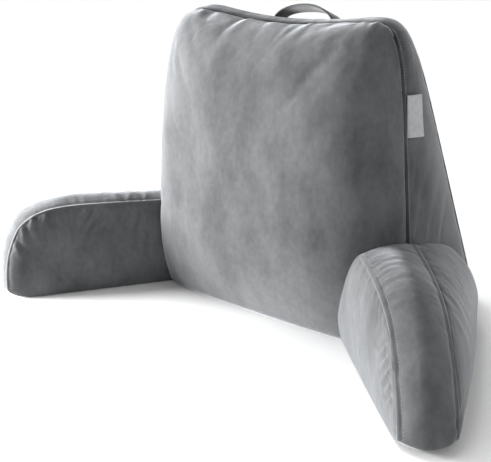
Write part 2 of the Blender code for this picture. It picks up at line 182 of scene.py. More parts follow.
# Slack cloth in the simulation, and how much of what it does is kept.
CLOTH_FRAMES = 16
CLOTH_SLACK = 0.055
CLOTH_SLACK_REACH = 0.060
CLOTH_SLACK_MIDDLE = 0.25
CLOTH_SETTINGS = {
    "quality": 4, "mass": 0.12, "tension_stiffness": 12.0, "compression_stiffness": 12.0,
    "shear_stiffness": 4.0, "bending_stiffness": 0.05, "use_pressure": True, "uniform_pressure_force": 3.0,
    "vertex_group_mass": "held", "vertex_group_shrink": "slack",
    "shrink_min": 0.0, "shrink_max": -CLOTH_SLACK,
}
CLOTH_SLACK_STEPS = 20
CLOTH_START_NOISE = 0.0006
CLOTH_START_SPACING = 0.016
CLOTH_CALM_ROUNDS = 60
CLOTH_CALM_SHARE = 0.7
CLOTH_MOST_MOVE = 0.006
CLOTH_HELD = 0.0042
CLOTH_HELD_LOW = 0.02
CLOTH_ROW_WIDTH = 0.004
CLOTH_ROWS = 20

# Main folds of each panel, from (s0, h0) to (s1, h1). On the front and rear panels s is X and h is Z, on a
# gusset s is Y and h is Z, and on an arm s is the distance along it and h the height, or the distance across
# on its top. Each is a trough with a ridge beside it, on the left of the way from its start to its end where
# the ridge is positive.
FOLD_COLUMNS = ("s0", "h0", "s1", "h1", "width", "depth", "ridge")
BACK_FOLDS = {
    "front": (
        (-0.055, 0.462, -0.074, 0.436, 0.006, 0.0016, 0.9),
        (-0.068, 0.44, -0.1, 0.385, 0.012, 0.0015, 0.5),
        (0.06, 0.46, 0.04, 0.432, 0.0055, 0.0016, 0.9),
        (0.044, 0.436, 0.01, 0.392, 0.011, 0.0014, 0.5),
        (-0.138, 0.47, -0.126, 0.45, 0.006, 0.0014, -0.8),
        (-0.014, 0.45, -0.008, 0.42, 0.008, 0.0011, 0.6),
        (0.029, 0.44, 0.024, 0.412, 0.008, 0.0009, 0.6),
        (0.135, 0.458, 0.142, 0.436, 0.006, 0.0014, 0.8),
        (0.154, 0.455, 0.162, 0.432, 0.0055, 0.0014, 0.8),
        (0.174, 0.45, 0.168, 0.425, 0.006, 0.0014, -0.8),
        (0.098, 0.455, 0.1, 0.428, 0.009, 0.0009, 0.6),
        (-0.12, 0.455, -0.104, 0.415, 0.01, 0.0011, 0.5),
        (-0.225, 0.13, -0.14, 0.18, 0.016, 0.0025, 0.4),
        (0.225, 0.15, 0.13, 0.2, 0.018, 0.0025, 0.4),
    ),
    "right": (
        (0.012, 0.165, 0.08, 0.285, 0.009, 0.0011, 0.8),
        (0.04, 0.15, 0.105, 0.245, 0.009, 0.001, 0.8),
        (0.075, 0.145, 0.14, 0.215, 0.009, 0.0009, 0.8),
        (0.01, 0.235, 0.055, 0.33, 0.008, 0.0007, 0.7),
    ),
    "left": (
        (0.012, 0.16, 0.085, 0.28, 0.009, 0.0025, 0.8),
        (0.045, 0.15, 0.115, 0.24, 0.009, 0.0022, 0.8),
        (0.09, 0.15, 0.15, 0.2, 0.009, 0.0018, 0.8),
    ),
    "rear": (
        (-0.18, 0.06, -0.08, 0.13, 0.014, 0.0045, 0.5),
        (0.19, 0.08, 0.09, 0.14, 0.014, 0.0045, 0.5),
        (-0.06, 0.44, -0.03, 0.39, 0.009, 0.0035, 0.7),
        (0.11, 0.44, 0.085, 0.395, 0.009, 0.0035, 0.7),
    ),
}
ARM_FOLDS = {
    "arm_left": {
        "in": (
            (0.268, 0.136, 0.258, 0.108, 0.0055, 0.003, 0.9),
            (0.284, 0.12, 0.271, 0.097, 0.0055, 0.0028, 0.9),
            (0.298, 0.098, 0.279, 0.082, 0.006, 0.0028, 0.9),
            (0.246, 0.14, 0.238, 0.118, 0.0055, 0.0025, 0.9),
            (0.18, 0.138, 0.204, 0.086, 0.006, 0.0038, 1.0),
            (0.162, 0.138, 0.19, 0.076, 0.006, 0.0038, 1.0),
            (0.15, 0.122, 0.174, 0.07, 0.0065, 0.0032, 1.0),
            (0.11, 0.126, 0.124, 0.075, 0.007, 0.003, 0.9),
            (0.095, 0.126, 0.1, 0.055, 0.0075, 0.003, 0.9),
            (0.082, 0.09, 0.078, 0.035, 0.0075, 0.0028, 0.9),
        ),
        "out": (
            (0.06, 0.125, 0.11, 0.06, 0.01, 0.004, 0.8),
            (0.15, 0.125, 0.185, 0.065, 0.009, 0.0035, 0.8),
            (0.23, 0.12, 0.25, 0.075, 0.008, 0.003, 0.8),
        ),
        "top": (
            (0.09, -0.034, 0.1, -0.008, 0.006, 0.0022, 0.8),
            (0.12, -0.034, 0.128, -0.01, 0.006, 0.002, 0.8),
        ),
    },
    "arm_right": {
        "top": (
            (0.136, -0.034, 0.142, 0.022, 0.0042, 0.0006, 0.9),
            (0.152, -0.03, 0.162, 0.012, 0.0045, 0.0007, 0.9),
            (0.168, -0.034, 0.17, 0.006, 0.0042, 0.0006, 0.9),
            (0.19, -0.03, 0.197, 0.016, 0.005, 0.0006, 0.9),
        ),
        "in": (
            (0.246, 0.094, 0.222, 0.082, 0.0042, 0.0018, 0.9),
            (0.256, 0.084, 0.23, 0.07, 0.0042, 0.0019, 0.9),
            (0.266, 0.074, 0.238, 0.06, 0.0042, 0.0019, 0.9),
            (0.276, 0.062, 0.25, 0.05, 0.0045, 0.0019, 0.9),
            (0.284, 0.048, 0.26, 0.04, 0.0045, 0.0018, 0.9),
        ),
        "out": (
            (0.125, 0.136, 0.138, 0.1, 0.007, 0.0005, 0.9),
            (0.15, 0.134, 0.152, 0.086, 0.007, 0.0005, 0.9),
            (0.18, 0.128, 0.168, 0.07, 0.0075, 0.0005, 0.9),
            (0.215, 0.118, 0.19, 0.065, 0.0075, 0.0005, 0.9),
            (0.09, 0.12, 0.098, 0.07, 0.009, 0.0005, 0.9),
        ),
    },
}

# Shape of every fold: how it widens and bends on its way, how it fades, and where its ridge lies.
FOLD_START_WIDTH = 0.8
FOLD_WIDENING = 0.9
FOLD_BEND = 0.10
FOLD_FADE_POWER = 0.8
FOLD_RIDGE_AWAY = 1.5
FOLD_SHARPNESS = 1.6

# Folds have their full depth this far from a seam, and an arm's relief at this share of its length.
BACK_FOLD_START = 0.005
ARM_FOLD_START = 0.004
ROOT_FADE = 0.02

# Stitches beside each seam.
STITCH_LENGTH = 0.0034
STITCH_SPACING = 0.0046
STITCH_RADIUS = 0.00042
STITCH_AWAY = 0.0044
STITCH_SIDES = 6
STITCH_RINGS = 5
STITCH_PROUD = 0.0001
STITCH_STEPS = 4
STITCH_END_SHARE = 0.45
STITCH_END_SINK = 1.6

# Lines of stitches in cage coordinates: the first place, the last one and how many points between them.
STITCHED_SIDE = (0.05, 0.955, 160)
STITCHED_TOP = (-0.965, 0.965, 160)
STITCHED_ARM_TOP = (0.0, 0.97, 120)
STITCHED_ARM_FRONT = (0.95, 0.12, 70)
STITCHED_ARM_ROOT = 0.02

# Strap handle on the top strip: a flat band that arches across the middle and leans back at its highest.
STRAP_CENTRE_X = 0.020
STRAP_CENTRE_Y = 0.037
STRAP_SPAN = 0.110
STRAP_RISE = 0.0145
STRAP_LEAN = 25.0
STRAP_WIDTH = 0.027
STRAP_SUNK = 0.012
STRAP_ARCH_POWER = 0.85
STRAP_CORE = 0.0030
STRAP_STEPS = 90
STRAP_COLUMNS = 24
STRAP_ROUNDING = 0.0016
STRAP_LEAST = 0.0004
STRAP_GROOVE_INSET = 0.0032
STRAP_GROOVE_DEPTH = 0.0011
STRAP_GROOVE_WIDTH = 0.0009
STRAP_SAG = 0.0006
STRAP_SAG_SPACING = (0.025, 0.02)

# Label sewn in the right front seam. It lies back over the gusset.
LABEL_LOW = 0.306
LABEL_HEIGHT = 0.058
LABEL_REACH = 0.0275
LABEL_START = 0.001
LABEL_STAND_LOW = 0.0020
LABEL_STAND_TOP = 0.0032
LABEL_CURL = 0.0030
LABEL_CORNER_CURL = 0.0030
LABEL_CURL_TURN = 0.8
LABEL_THICKNESS = 0.0011
LABEL_LEAST = 0.0002
LABEL_ROUNDING = 0.0006
LABEL_COLUMNS = 22
LABEL_ROWS = 34

# Camera, floor and lights. Angles are in degrees.
CAMERA_PLACE = (0.69367, -0.88146, 0.4806)
CAMERA_TILT = 72.5
CAMERA_TURN = 39.95
CAMERA_LENS = 53.87
CAMERA_SENSOR = 36.0
FLOOR_SIZE = 1000.0
FLOOR_DROP = 0.0004
SUN_AWAY = 3.0
KEY_LIGHT = {"place": (-1.15, -0.95, 0.3), "aim": (-0.1, -0.1, 0.22), "size": 0.5, "power": 72.0}
SUNS = (
    {"name": "overhead_left", "azimuth": 165.0, "height": 50.0, "spread": 55.0, "strength": 2.5},
    {"name": "rim_right", "azimuth": 8.0, "height": 20.0, "spread": 50.0, "strength": 0.8},
)
WORLD_STRENGTH = 0.42

# Numbers of the random values' hash.
HASH_SEED = (7919, 17)
HASH_FACTORS = (73856093, 19349663, 83492791)
HASH_SIZE = 2147483647
HASH_SHIFT = 7


def clamp(value, low=0.0, high=1.0):
    return np.minimum(np.maximum(value, low), high)


def mix(start, end, share):
    return start + (end - start) * share


def soft_noise(seed, *coordinates):
    """Smooth random values from -1 to 1, with a new value a unit apart in each coordinate."""
    whole = [np.floor(c).astype(np.int64) for c in coordinates]
    part = [c - w for c, w in zip(coordinates, whole)]
    fade = [p * p * (3.0 - 2.0 * p) for p in part]
    total = 0.0
    for corner in itertools.product((0, 1), repeat=len(coordinates)):
        weight = 1.0
        key = np.full(whole[0].shape, seed * HASH_SEED[0] + HASH_SEED[1], np.int64)
        for w, f, c in zip(whole, fade, corner):
            weight = weight * (f if c else 1.0 - f)
            key = (key * HASH_FACTORS[0] + (w + c) * HASH_FACTORS[1]) % HASH_SIZE
            key = (key ^ (key >> HASH_SHIFT)) * HASH_FACTORS[2] % HASH_SIZE
        total = total + weight * (key / (HASH_SIZE / 2) - 1.0)
    return total


def unit(vectors):
    """The vectors at length 1, along the last axis. A vector of no length stays so."""
    return vectors / np.maximum(np.linalg.norm(vectors, axis=-1, keepdims=True), LEAST_LENGTH)


def linked(name, data):
    """A new object in the scene."""
    obj = bpy.data.objects.new(name, data)
    bpy.context.scene.collection.objects.link(obj)
    return obj


# Cage coordinates


def stations(low, high, cells, low_seam=True):
    """Cage coordinates along a side of the cage, close together at its upper end and at a lower seam."""
    rows = len(SEAM_ROWS) - 1
    start = low + SEAM_STEP * rows * low_seam
    end = high - SEAM_STEP * rows
    before = [low + SEAM_STEP * i for i in range(rows * low_seam)]
    after = [high - SEAM_STEP * i for i in reversed(range(rows))]
    return np.array(before + list(np.linspace(start, end, cells + 1)) + after)


def from_edge(share, reach):
    """Metres from a panel's edge to a point whose cage coordinate is share short of that edge."""
    rows = len(SEAM_ROWS) - 1
    place = share / SEAM_STEP
    near = np.interp(place, np.arange(rows + 1), SEAM_ROWS)
    zone = SEAM_ROWS[-1]
    far = zone + (reach - zone) * (place - rows) / (1.0 / SEAM_STEP - rows)
    return np.where(place < rows, near, far)


def to_edge(distance, reach):
    """The cage distance from a panel's edge to a point that lies this many metres from it."""
    rows = len(SEAM_ROWS) - 1
    zone = SEAM_ROWS[-1]
    near = np.interp(distance, SEAM_ROWS, np.arange(rows + 1))
    far = rows + (distance - zone) / (reach - zone) * (1.0 / SEAM_STEP - rows)
    return SEAM_STEP * np.where(distance < zone, near, far)


def spread(value, half):
    """A cage coordinate from -1 to 1 as a share of half, with rows by both ends at their real distances."""
    return np.copysign(1.0 - from_edge(1.0 - np.abs(value), half) / half, value)


def spread_one_end(value, whole):
    """A cage coordinate from 0 to 1 as a share of whole, with rows by its upper end at real distances."""
    return np.maximum(1.0 - from_edge(1.0 - value, whole) / whole, 0.0)


def crowned_distance(share, reach, rise, whole, shape, power):
    """Metres across a panel, from its seam, of a grid row.

    Rows lie at the seam table's distances over the cloth. The cloth rises from the seam by rise, as a crown
    does with this whole, shape and power, so that a row on a steep crown lies close to the seam.
    """
    def over(distance):
        return distance + rise * clamp(1.0 - clamp(1.0 - distance / whole) ** shape) ** power

    wanted = from_edge(share, over(reach))
    low = np.zeros(len(share))
    high = np.zeros(len(share)) + reach
    for _ in range(CROWN_HALVINGS):
        middle = (low + high) / 2
        beyond = over(middle) > wanted
        low = np.where(beyond, low, middle)
        high = np.where(beyond, middle, high)
    return high


def cage_surface(first, second, third):
    """Cage coordinates of the points on a box's surface, and its quads."""
    counts = (len(first), len(second), len(third))
    places = np.indices(counts)
    on_surface = np.zeros(counts, bool)
    for axis in range(3):
        on_surface |= (places[axis] == 0) | (places[axis] == counts[axis] - 1)
    index = np.full(counts, -1)
    index[on_surface] = np.arange(on_surface.sum())
    lines = (first, second, third)
    cage = np.stack([np.asarray(lines[axis])[places[axis][on_surface]] for axis in range(3)], 1)
    quads = []
    for axis in range(3):
        for end in (0, -1):
            sheet = np.take(index, end, axis=axis)
            corners = [sheet[:-1, :-1], sheet[1:, :-1], sheet[1:, 1:], sheet[:-1, 1:]]
            ring = np.stack(corners, -1).reshape(-1, 4)
            quads.append(ring if (end == 0) == (axis != 1) else ring[:, ::-1])
    return cage, np.concatenate(quads)


def facing_out(places, quads):
    """The quads, turned over if they enclose a negative volume."""
    a, b, c, d = (places[quads[:, i]] for i in range(4))
    volume = np.einsum("ij,ij->i", a, np.cross(b, c)).sum() + np.einsum("ij,ij->i", a, np.cross(c, d)).sum()
    return quads if volume > 0 else quads[:, ::-1]


# Forms


def turned_under(height):
    """How far the cloth lies inside its outline near the surface that it stands on."""
    short = clamp(TURN_UNDER - height, 0.0, TURN_UNDER)
    return TURN_UNDER - np.sqrt(TURN_UNDER**2 - short**2)


def crown_across(across):
    return clamp(1.0 - np.abs(across) ** CROWN_SPREAD) ** CROWN_EDGE_POWER


def crown_up(up):
    low = 1.0 - LOW_CROWN_LOSS * clamp(1.0 - up / LOW_CROWN_HEIGHT) ** 2
    return low * clamp(1.0 - up**CROWN_RISE_SHARPNESS) ** CROWN_EDGE_POWER


def crown(across, up):
    """Share of a panel's crown at a point: full in the middle, none at its seams."""
    return crown_across(across) * crown_up(up)


def corner_pull(value, amount=1.0):
    """How much a panel narrows as its corner is drawn in."""
    share = 2.0 * amount / (CORNER_SHARPNESS + 2.0)
    return np.sqrt(1.0 - share * np.abs(value) ** CORNER_SHARPNESS)


def back_form(cage):
    half = FRONT_WIDTH_LOW / 2
    peak = mix(FRONT_CROWN, REAR_CROWN, (cage[:, 2] + 1.0) / 2)
    rise = peak * crown_up(spread_one_end(cage[:, 1], BACK_HEIGHT))
    from_side = crowned_distance(
        1.0 - np.abs(cage[:, 0]), half, rise, half, CROWN_SPREAD, CROWN_EDGE_POWER
    )
    across = np.copysign(1.0 - from_side / half, cage[:, 0])
    rise = peak * crown_across(spread(cage[:, 0], half))
    from_top = crowned_distance(
        1.0 - cage[:, 1], BACK_HEIGHT, rise, BACK_HEIGHT, CROWN_RISE_SHARPNESS, CROWN_EDGE_POWER
    )
    up = clamp(1.0 - from_top / BACK_HEIGHT)
    depth = mix(DEPTH_LOW, DEPTH_TOP, up)
    rearward = (spread(cage[:, 2], depth / 2) + 1.0) / 2
    dip = TOP_DIP * clamp(1.0 - across**2) ** TOP_DIP_SIDE_POWER * up**TOP_DIP_RISE_POWER
    dip = dip + TOP_TILT * across * up**2
    height = up * BACK_HEIGHT * corner_pull(across, CORNER_DROP_SHARE) - dip
    front_half = mix(FRONT_WIDTH_LOW, FRONT_WIDTH_TOP, up) / 2
    rear_half = mix(REAR_WIDTH_LOW, REAR_WIDTH_TOP, up) / 2
    inset = turned_under(height)
    side = across * (mix(front_half, rear_half, rearward) * corner_pull(up) - inset)
    front_y = FRONT_LEAN * up - FRONT_CROWN * crown(across, up)
    rear_y = FRONT_LEAN * up + depth + REAR_CROWN * crown(across, up)
    gusset = clamp(1.0 - (2.0 * rearward - 1.0) ** 2) ** GUSSET_CROWN_POWER
    gusset = GUSSET_CROWN * (1.0 - GUSSET_CROWN_LOSS * up) * gusset
    on_strip = (np.abs(cage[:, 0]) > ON_FACE) | (cage[:, 1] > ON_FACE)
    turn = np.abs(across) ** CORNER_TURN_POWER
    outward = unit(np.stack([np.copysign(turn, across), up**CORNER_TURN_POWER], 1))
    gusset = np.where(on_strip, gusset, 0.0)
    side = side + gusset * outward[:, 0] - MIDDLE_X
    height = height + gusset * outward[:, 1]
    return np.stack([side, mix(front_y + inset, rear_y - inset, rearward) - MIDDLE_Y, height], 1)


def side_crown(crown_of, up):
    """Share of a side panel's bulge at a height."""
    low = 1.0 - crown_of["low_loss"] * clamp(1.0 - up / crown_of["low_share"]) ** 2
    return low * clamp(1.0 - up ** crown_of["spread"]) ** ARM_CROWN_POWER


def arm_crown_front(front):
    return clamp(1.0 - front**ARM_FRONT_SPREAD) ** ARM_CROWN_POWER


def arm_local(arm, along, up, across):
    """Points of an arm: distance along it, distance across it and height. Along is a share of its length."""
    front = clamp(along)
    height = mix(arm["height_root"], arm["height_tip"], front) * up
    height = height * np.sqrt(1.0 - arm["nose_drop"] * front ** arm["nose_drop_power"])
    inset = turned_under(height)
    strip = mix(arm["strip_root"], arm["strip_tip"], front) / 2
    rounded = arm_crown_front(front)
    inward = mix(arm["bulge_in_root"], arm["bulge_in_tip"], front) * rounded * side_crown(IN_CROWN, up)
    outward = (arm["bulge_out_tip"] + arm["bulge_out_root"] * (1.0 - along)) * rounded
    outward = outward * side_crown(OUT_CROWN, up)
    half = strip + np.where(across > 0.0, outward, inward) - inset
    share = spread(across, half)
    nose = np.sqrt(1.0 - arm["nose_back"] * up ** arm["nose_back_power"]) - inset / arm["length"]
    toe = ARM_TOE * clamp(1.0 - up / ARM_TOE_SHARE) ** 2 * front**ARM_TOE_POWER
    reach = arm["length"] * along * np.where(along > 0.0, nose, 1.0) - toe
    on_strip = (along > ON_FACE) | (up > ON_FACE)
    outline = unit(np.stack([front**ARM_TURN_POWER, up**ARM_TURN_POWER], 1))
    swell = mix(arm["strip_crown_root"], arm["strip_crown_tip"], front) * (1.0 - share**2) * on_strip
    reach = reach + swell * outline[:, 0]
    height = height + swell * outline[:, 1]
    cap = np.sqrt(1.0 - (np.minimum(along, 0.0) / ARM_CAP_SHARE) ** 2)
    return np.stack([reach, share * half * cap, height * mix(1.0 - ARM_CAP_DROP, 1.0, cap)], 1)


def arm_axes(arm):
    """The arm's own directions (along, across, up), as rows, and its root."""
    angle = math.radians(arm["splay"])
    axes = np.array([
        [arm["side"] * math.sin(angle), -math.cos(angle), 0.0],
        [arm["side"] * math.cos(angle), math.sin(angle), 0.0],
        [0.0, 0.0, 1.0],
    ])
    root = np.array([arm["side"] * arm["root_x"] - MIDDLE_X, arm["root_y"] - MIDDLE_Y, 0.0])
    return axes, root


def arm_form(arm, along, up, across):
    axes, root = arm_axes(arm)
    return arm_local(arm, along, up, across) @ axes + root


def arm_root(arm, up, across, back):
    """Where each of an arm's grid lines meets the back, as a share of the arm's length."""
    def inside(along):
        found = np.zeros(len(along), bool)
        for i, place in enumerate(arm_form(arm, along, up, across)):
            hit, normal, _, _ = back.find_nearest(Vector(place))
            found[i] = (Vector(place) - hit).dot(normal) < ROOT_GAP
        return found

    low = np.full(len(up), ROOT_SEARCH_BACK)
    high = np.full(len(up), ROOT_SEARCH_FRONT)
    open_lines = np.ones(len(up), bool)
    for step in np.linspace(ROOT_SEARCH_FRONT, ROOT_SEARCH_BACK, ROOT_SEARCH_STEPS):
        hit = inside(np.full(len(up), step)) & open_lines
        low[hit] = step
        open_lines &= ~hit
        high[open_lines] = step
    for _ in range(ROOT_HALVINGS):
        middle = (low + high) / 2
        hit = inside(middle)
        low = np.where(hit, middle, low)
        high = np.where(hit, high, middle)
    return high


# Seams and folds


def fold_height(folds, s, h):
    """Height of a panel's folds at its points: sharp troughs in the cloth, with a round ridge beside each.

    A fold is deepest at its start, and it widens and fades towards its end.
    """
    total = np.zeros(len(s))
    for row in folds:
        fold = dict(zip(FOLD_COLUMNS, row))
        run = np.array([fold["s1"] - fold["s0"], fold["h1"] - fold["h0"]])
        length = np.linalg.norm(run)
        run /= length
        along = (s - fold["s0"]) * run[0] + (h - fold["h0"]) * run[1]
        share = clamp(along / length)
        width = fold["width"] * (FOLD_START_WIDTH + FOLD_WIDENING * share)
        bend = FOLD_BEND * length * np.sin(math.pi * share)
        beside = ((h - fold["h0"]) * run[0] - (s - fold["s0"]) * run[1] - bend) / width
        before = np.maximum(-along, 0.0) / fold["width"]
        fade = (1.0 - share) ** FOLD_FADE_POWER * np.exp(-(before**2))
        ridge_place = math.copysign(FOLD_RIDGE_AWAY, fold["ridge"])
        ridge = abs(fold["ridge"]) * np.exp(-((beside - ridge_place) ** 2))
        total += fold["depth"] * fade * (ridge - np.exp(-FOLD_SHARPNESS * np.abs(beside)))
    return total


def add_folds(height, folds, panels, distance, start):
    """Adds each panel's folds to the height, except close to its seams. A panel is (name, points, s, h)."""
    for panel, chosen, s, h in panels:
        new = fold_height(folds[panel], s[chosen], h[chosen])
        height[chosen] += new * clamp(distance[chosen] / start)


def gathers(seed, seam_points, distance):
    """Height of the short ripples that run across a seam."""
    place = (seam_points / GATHER_SPACING).T
    ripple = soft_noise(seed, *place)
    ripple = ripple + GATHER_FINE_SHARE * soft_noise(seed + 1, *(GATHER_FINE_RATE * place))
    longer = 1.0 + GATHER_REACH_VARIES * soft_noise(seed + 2, *(place / GATHER_REACH_SPACING))
    start = clamp((distance - GATHER_START) / GATHER_START)
    return GATHER_HEIGHT * ripple * start * np.exp(-((distance / (GATHER_REACH * longer)) ** 2))


def lumps(seed, places, distance):
    return LUMP_HEIGHT * soft_noise(seed, *(places / LUMP_SPACING).T) * clamp(distance / LUMP_START)


def welt(profile, distance):
    return np.interp(distance, SEAM_ROWS, profile)


def nearest_seam(places, form, cage, panel_ends, hidden):
    """For each point: is it on a panel, metres to the nearest seam, that seam's nearest point, and its cage.

    Each of panel_ends says which cage coordinate ends at a seam of the panels: (coordinate, both ends).
    """
    on_panel = np.abs(cage[:, 2]) > ON_FACE
    distance = np.full(len(cage), np.inf)
    seam = np.zeros_like(places)
    nearest = cage.copy()
    for axis, both in (*panel_ends, (2, True)):
        snapped = cage.copy()
        snapped[:, axis] = np.copysign(1.0, cage[:, axis]) if both else 1.0
        point = form(snapped)
        away = np.linalg.norm(places - point, axis=1)
        closer = (away < distance) & (on_panel == (axis != 2))
        distance[closer] = away[closer]
        seam[closer] = point[closer]
        nearest[closer] = snapped[closer]
    return on_panel, np.where(hidden & ~on_panel, 1.0, distance), seam, nearest


def back_seams(cage, places):
    return nearest_seam(places, back_form, cage, ((0, True), (1, False)), cage[:, 1] < ON_LOW_END)


def back_relief(cage, places):
    on_panel, distance, seam, nearest = back_seams(cage, places)
    at_top = clamp((nearest[:, 1] - TOP_SEAM_START) / (1.0 - TOP_SEAM_START))
    at_top *= clamp((1.0 - np.abs(nearest[:, 0])) / TOP_SEAM_CORNER) * (nearest[:, 2] < 0.0)
    side_welt = np.where(on_panel, welt(BACK_PANEL_WELT, distance), welt(BACK_STRIP_WELT, distance))
    puff = distance / TOP_PUFF_AWAY
    puff = TOP_PUFF * puff * np.exp(1.0 - puff) * (cage[:, 2] < -ON_FACE)
    height = mix(side_welt, welt(BACK_TOP_WELT, distance) + puff, at_top)
    height += gathers(BACK_GATHER_SEED, seam, distance) + lumps(BACK_LUMP_SEED, places, distance)
    x = places[:, 0] + MIDDLE_X
    y = places[:, 1] + MIDDLE_Y
    z = places[:, 2]
    panels = (
        ("front", cage[:, 2] < -ON_FACE, x, z),
        ("rear", cage[:, 2] > ON_FACE, x, z),
        ("right", ~on_panel & (cage[:, 0] > ON_FACE), y, z),
        ("left", ~on_panel & (cage[:, 0] < -ON_FACE), y, z),
    )
    add_folds(height, BACK_FOLDS, panels, distance, BACK_FOLD_START)
    return height * clamp(z / RELIEF_FADE)


def arm_seams(form, cage, root, places):
    hidden = (cage[:, 1] < ON_LOW_END) | (cage[:, 0] < ON_LOW_END)
    return nearest_seam(places, lambda points: form(points, root), cage, ((0, False), (1, False)), hidden)


# Cloth


def vectors_of(collection, attribute):
    """One vector a row, read from a mesh's vertices, normals or tags."""
    values = np.empty(len(collection) * 3, np.float32)
    collection.foreach_get(attribute, values)
    return values.reshape(-1, 3).astype(float)


def neighbours_mean(values, edges, counts):
    total = np.zeros_like(values)
    for column in range(values.shape[1]):
        total[:, column] = np.bincount(edges[:, 0], values[edges[:, 1], column], len(values))
    return total / counts[:, None]


def gathered(name, places, quads, panel, distance, held, seed):
    """Simulates the cloth with slack beside its held seams, and returns the places with their gathers.

    Only what is narrower than a few cells and varies along its seam is kept, so the piece keeps its form.
    """
    scene = bpy.context.scene
    mesh = bpy.data.meshes.new(name)
    mesh.from_pydata(places.tolist(), [], quads.tolist())
    mesh.update()
    normals = vectors_of(mesh.vertex_normals, "vector")
    ripple = soft_noise(seed, *(places / CLOTH_START_SPACING).T) * CLOTH_START_NOISE * ~held
    start = places + normals * ripple[:, None]
    mesh.vertices.foreach_set("co", start.ravel())
    obj = linked(name, mesh)
    pins = obj.vertex_groups.new(name="held")
    pins.add(np.flatnonzero(held).tolist(), 1.0, "REPLACE")
    slack = obj.vertex_groups.new(name="slack")
    weights = mix(CLOTH_SLACK_MIDDLE, 1.0, np.exp(-((distance / CLOTH_SLACK_REACH) ** 2)))
    steps = np.round(weights * CLOTH_SLACK_STEPS).astype(int)
    for step in np.unique(steps):
        slack.add(np.flatnonzero(steps == step).tolist(), step / CLOTH_SLACK_STEPS, "REPLACE")
    cloth = obj.modifiers.new("cloth", "CLOTH")
    for setting, value in CLOTH_SETTINGS.items():
        setattr(cloth.settings, setting, value)
    cloth.settings.effector_weights.gravity = 0.0
    cloth.collision_settings.use_collision = False
    cloth.point_cache.frame_start = 1
    cloth.point_cache.frame_end = CLOTH_FRAMES
    for frame_number in range(1, CLOTH_FRAMES + 1):
        scene.frame_set(frame_number)
    evaluated = obj.evaluated_get(bpy.context.evaluated_depsgraph_get())
    move = vectors_of(evaluated.data.vertices, "co") - places
    bpy.data.objects.remove(obj, do_unlink=True)
    scene.frame_set(1)
    edges = np.concatenate([quads[:, [i, (i + 1) % 4]] for i in range(4)])
    edges = np.unique(np.sort(edges, axis=1), axis=0)
    edges = np.concatenate([edges, edges[:, ::-1]])
    counts = np.bincount(edges[:, 0], minlength=len(places))
    calm = move.copy()
    for _ in range(CLOTH_CALM_ROUNDS):
        calm = mix(calm, neighbours_mean(calm, edges, counts), CLOTH_CALM_SHARE)
    move = move - calm
    row = np.minimum(np.round(distance / CLOTH_ROW_WIDTH), CLOTH_ROWS).astype(int)
    row += panel * (CLOTH_ROWS + 1)
    lift = np.einsum("ij,ij->i", move, normals)
    mean_lift = np.bincount(row, lift) / np.maximum(np.bincount(row), 1)
    move = (move - normals * mean_lift[row][:, None]) * ~held[:, None]
    size = np.maximum(np.linalg.norm(move, axis=1, keepdims=True), LEAST_LENGTH)
    return places + move * (CLOTH_MOST_MOVE * np.tanh(size / CLOTH_MOST_MOVE) / size)


def refined(name, places, quads, tags):
    """The grid divided once and smoothed: its new places, quads, outward directions and tags."""
    mesh = bpy.data.meshes.new(name)
    mesh.from_pydata(places.tolist(), [], quads.tolist())
    for tag, values in tags.items():
        mesh.attributes.new(tag, "FLOAT_VECTOR", "POINT").data.foreach_set("vector", values.ravel())
    obj = linked(name, mesh)
    divide = obj.modifiers.new("divide", "SUBSURF")
    divide.levels = 1
    divide.render_levels = 1
    bpy.context.view_layer.update()
    fine = obj.evaluated_get(bpy.context.evaluated_depsgraph_get()).data
    new_places = vectors_of(fine.vertices, "co")
    normals = vectors_of(fine.vertex_normals, "vector")
    new_quads = np.empty(len(fine.loops), np.int32)
    fine.loops.foreach_get("vertex_index", new_quads)
    new_tags = {tag: vectors_of(fine.attributes[tag].data, "vector") for tag in tags}
    bpy.data.objects.remove(obj, do_unlink=True)
    return new_places, new_quads.reshape(-1, 4), normals, new_tags


def mesh_object(name, places, faces, material, smooth=True):
    """A new object in the scene with this mesh. Each face lists the numbers of its places."""
    mesh = bpy.data.meshes.new(name)
    mesh.from_pydata(places.tolist(), [], [list(face) for face in faces])
    mesh.update()
    if smooth:
        mesh.shade_smooth()
    mesh.materials.append(material)
    return linked(name, mesh)


def make_cover(name, places, quads, material):
    """A cover's object, with nothing below the surface that it stands on, and a search tree of its cloth."""
    places[:, 2] = np.maximum(places[:, 2], 0.0)
    obj = mesh_object(name, places, quads, material)
    return obj, BVHTree.FromPolygons(places.tolist(), quads.tolist())


def make_back(material):
    cage, quads = cage_surface(
        stations(-1.0, 1.0, BACK_CELLS["across"]),
        np.concatenate([LOW_ROWS, stations(BACK_EVEN_START, 1.0, BACK_CELLS["up"], low_seam=False)]),
        stations(-1.0, 1.0, BACK_CELLS["deep"]),
    )
    places = back_form(cage)
    quads = facing_out(places, quads)
    on_panel, distance, _, _ = back_seams(cage, places)
    held = (distance < CLOTH_HELD) | (cage[:, 1] < CLOTH_HELD_LOW)
    # Panels by number: 1 is the front, 2 the rear, 3 the top strip, 4 the right gusset and 5 the left one.
    strip = 3 + (cage[:, 0] > ON_FACE) + 2 * (cage[:, 0] < -ON_FACE)
    panel = np.where(on_panel, 1 + (cage[:, 2] > 0.0), strip)
    places = gathered("back_cloth", places, quads, panel, distance, held, BACK_CLOTH_SEED)
    places, quads, normals, tags = refined("back_cloth", places, quads, {"cage": cage})
    relief = back_relief(tags["cage"], places)
    return make_cover("back_cover", places + normals * relief[:, None], quads, material)


